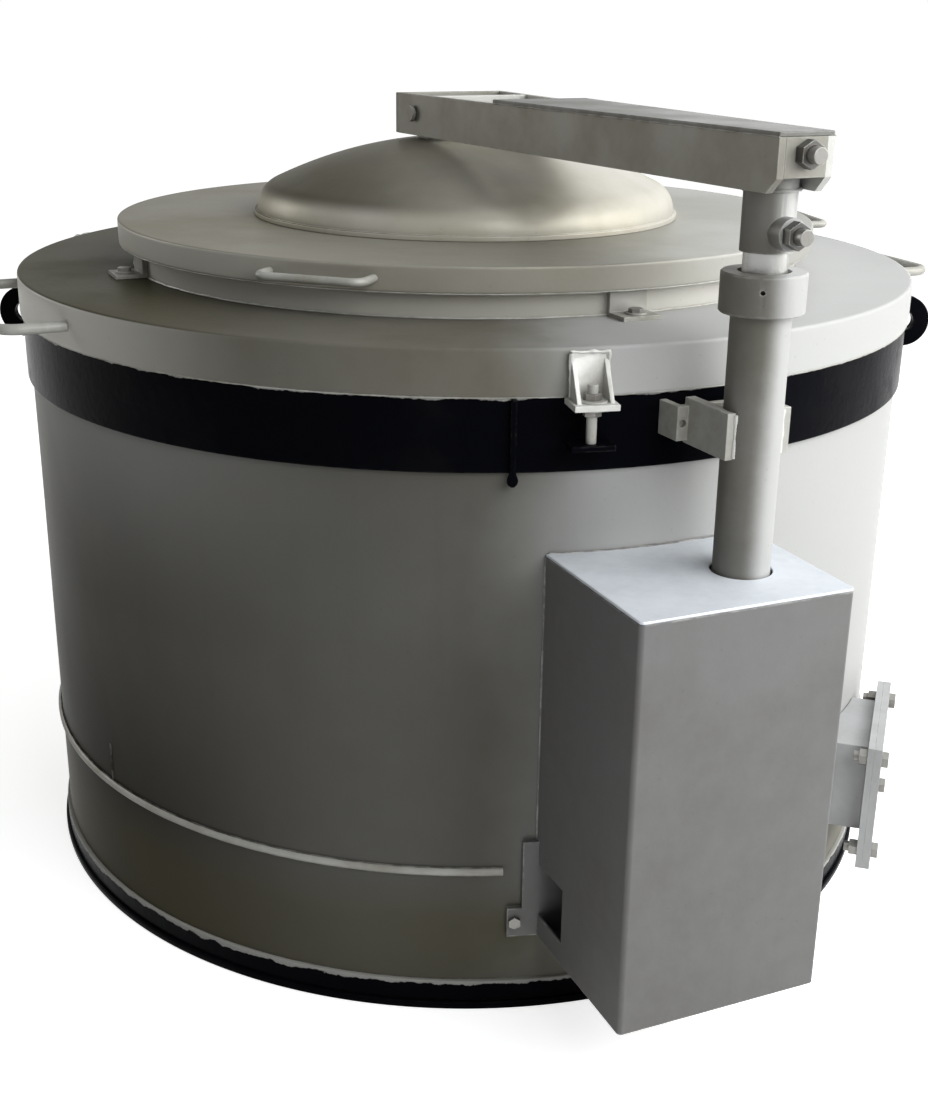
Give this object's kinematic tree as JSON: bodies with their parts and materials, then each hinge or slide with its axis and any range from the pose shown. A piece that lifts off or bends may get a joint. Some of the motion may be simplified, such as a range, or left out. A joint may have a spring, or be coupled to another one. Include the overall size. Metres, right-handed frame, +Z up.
{
  "type": "crucible furnace",
  "caption": "Round floor-standing crucible furnace: lined steel drum with black band, raised mouth plate and a domed lid on an arm that lifts and swings about a pipe mast over a box.",
  "frame": {"origin": "on the floor under the drum's axis, at the middle of the base plate's underside", "axes": "+Z up along the drum's axis; the lid's mast and its box stand towards -Y and +X; +X to the right"},
  "size_m": [1.6584, 1.7175, 1.281],
  "materials": {
    "silver_paint": "aluminium paint, dull with brighter worn patches",
    "black_paint": "glossy black enamel",
    "bolt_steel": "plain steel fasteners, partly painted over",
    "bright_steel": "turned bright steel",
    "bronze": "bearing bronze",
    "refractory": "cast refractory concrete",
    "fibre": "ceramic fibre blanket",
    "graphite": "clay-graphite crucible"
  },
  "bodies": {
    "furnace": {"drum_shell": "silver_paint", "drum_bead": "silver_paint", "cover_ring": "silver_paint", "mouth_plate": "silver_paint", "mouth_handles": "silver_paint", "mouth_clamps": "silver_paint", "hold_down_brackets": "silver_paint", "cover_handles": "silver_paint", "lift_box": "silver_paint", "box_top": "silver_paint", "box_floor": "silver_paint", "box_saddle": "silver_paint", "mast_pipe": "silver_paint", "mast_collar": "silver_paint", "tie_bracket": "silver_paint", "port_duct": "silver_paint", "port_flange": "silver_paint", "port_plate": "silver_paint", "base_plate": "black_paint", "base_kick_ring": "black_paint", "top_band": "black_paint", "band_tongue": "black_paint", "band_ledges": "black_paint", "lifting_lugs": "black_paint", "mouth_clamp_bolts": "bolt_steel", "hold_down_bolts": "bolt_steel", "hold_down_nuts": "bolt_steel", "box_bolts": "bolt_steel", "port_bolts": "bolt_steel", "lift_cylinder": "bright_steel", "cylinder_gland": "bright_steel", "upper_bush": "bronze", "lower_bush": "bronze", "floor_slab": "refractory", "backup_lining": "refractory", "hot_face_lining": "refractory", "crucible_stand": "refractory", "mouth_refractory": "refractory", "port_quarl": "refractory", "fibre_blanket": "fibre", "crucible": "graphite"},
    "lift": {"ram_rod": "bright_steel", "thrust_bearing": "bright_steel"},
    "swing": {"spindle": "bright_steel", "arm_sleeve": "silver_paint", "arm_side_near": "silver_paint", "arm_side_far": "silver_paint", "arm_cross_plates": "silver_paint", "arm_end_plate": "silver_paint", "arm_rear_plate": "silver_paint", "arm_top_plate": "silver_paint", "sleeve_set_bolts": "bolt_steel", "sleeve_set_nuts": "bolt_steel", "lid_lugs": "silver_paint", "lid_dome": "silver_paint", "lid_insulation": "refractory", "lid_rim": "silver_paint", "lid_pin": "bolt_steel"}
  },
  "joints": [
    {"name": "lid_lift", "type": "slide", "parent": "furnace", "child": "lift", "axis": [0, 0, 1], "range_m": [0, 0.12]},
    {"name": "lid_swing", "type": "hinge", "parent": "lift", "child": "swing", "pos_m": [0.36723, -0.77898, 0.56], "axis": [0, 0, 1], "range_deg": [-110, 110]}
  ]
}
